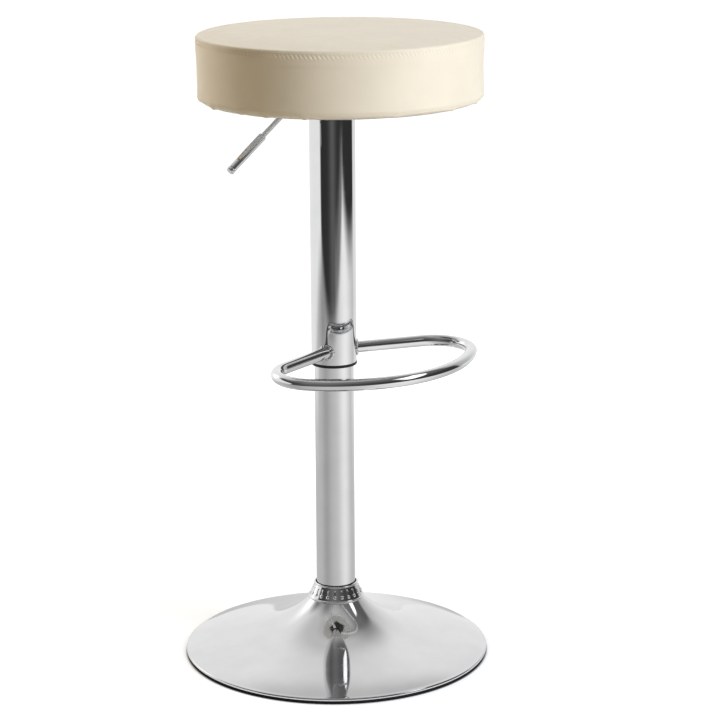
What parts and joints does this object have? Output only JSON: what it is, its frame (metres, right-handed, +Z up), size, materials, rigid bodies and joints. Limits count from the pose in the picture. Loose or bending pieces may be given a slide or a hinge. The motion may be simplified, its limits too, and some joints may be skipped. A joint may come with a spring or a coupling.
{
  "type": "stool",
  "caption": "Diner counter stool: round padded seat on a chrome gas-lift column with a sleeve-mounted footrest, lift lever and weighted trumpet base.",
  "frame": {"origin": "on the floor, on the column's axis", "axes": "+Z up along the column; the footrest reaches towards -Y, and the lift lever points to -X"},
  "size_m": [0.385, 0.385, 0.793],
  "materials": {
    "chrome": "polished chrome plate",
    "black_steel": "black stove enamel",
    "steel": "zinc-plated steel",
    "rubber": "matt black rubber",
    "black_plastic": "black acetal",
    "leather": "cream leatherette, fine grain",
    "foam": "open-cell foam",
    "plywood": "raw plywood",
    "dust_cloth": "pale grey spunbond cloth"
  },
  "bodies": {
    "base": {"base_shell": "chrome", "floor_ring": "rubber", "ballast_plate": "black_steel", "column_hub": "steel", "collar_ring": "chrome", "column_tube": "chrome", "guide_bush": "black_plastic", "column_end_plate": "steel", "bearing_lower_race": "steel"},
    "rod": {"piston_rod": "chrome", "piston": "steel", "piston_seal": "rubber", "piston_nut": "steel", "bearing_upper_race": "steel", "bump_stop": "rubber", "retaining_washer": "steel", "retaining_clip": "steel"},
    "bearing": {"bearing_cage": "black_plastic", "bearing_ball_1": "steel", "bearing_ball_2": "steel", "bearing_ball_3": "steel", "bearing_ball_4": "steel", "bearing_ball_5": "steel", "bearing_ball_6": "steel", "bearing_ball_7": "steel", "bearing_ball_8": "steel"},
    "carriage": {"pressure_tube": "black_steel", "rod_guide": "black_plastic", "rod_seal": "rubber", "valve_body": "steel", "sleeve_tube": "chrome", "sleeve_bush": "black_plastic", "sleeve_cap": "steel", "footrest": "chrome", "seat_plate": "black_steel", "plate_socket": "black_steel", "fulcrum_ear_left": "black_steel", "fulcrum_ear_right": "black_steel", "fulcrum_pin": "steel", "seat_bolt_1": "steel", "seat_bolt_2": "steel", "seat_bolt_3": "steel", "seat_bolt_4": "steel", "spring_washer_1": "steel", "spring_washer_2": "steel", "spring_washer_3": "steel", "spring_washer_4": "steel", "t_nut_1": "steel", "t_nut_2": "steel", "t_nut_3": "steel", "t_nut_4": "steel", "seat_board": "plywood", "seat_foam": "foam", "seat_cover": "leather", "dust_cover": "dust_cloth"},
    "lever": {"lever_rod": "chrome", "lever_grip": "chrome"},
    "release_pin": {"release_pin": "steel"}
  },
  "joints": [
    {"name": "swivel", "type": "hinge", "parent": "base", "child": "rod", "pos_m": [0, 0, 0.014], "axis": [0, 0, 1], "continuous": true},
    {"name": "bearing_turn", "type": "hinge", "parent": "base", "child": "bearing", "pos_m": [0, 0, 0.014], "axis": [0, 0, 1], "continuous": true},
    {"name": "lift", "type": "slide", "parent": "rod", "child": "carriage", "axis": [0, 0, 1], "range_m": [-0.205, 0]},
    {"name": "lever_lift", "type": "hinge", "parent": "carriage", "child": "lever", "pos_m": [-0.032, 0, 0.7005], "axis": [0, 1, 0], "range_deg": [0, 6]},
    {"name": "pin_press", "type": "slide", "parent": "carriage", "child": "release_pin", "axis": [0, 0, -1], "range_m": [0, 0.0035], "stiffness_N_per_m": 800}
  ],
  "couplings": [
    {"joint": "bearing_turn", "follows": "swivel", "ratio": 0.5},
    {"joint": "pin_press", "follows": "lever_lift", "m_per_rad": 0.032}
  ]
}
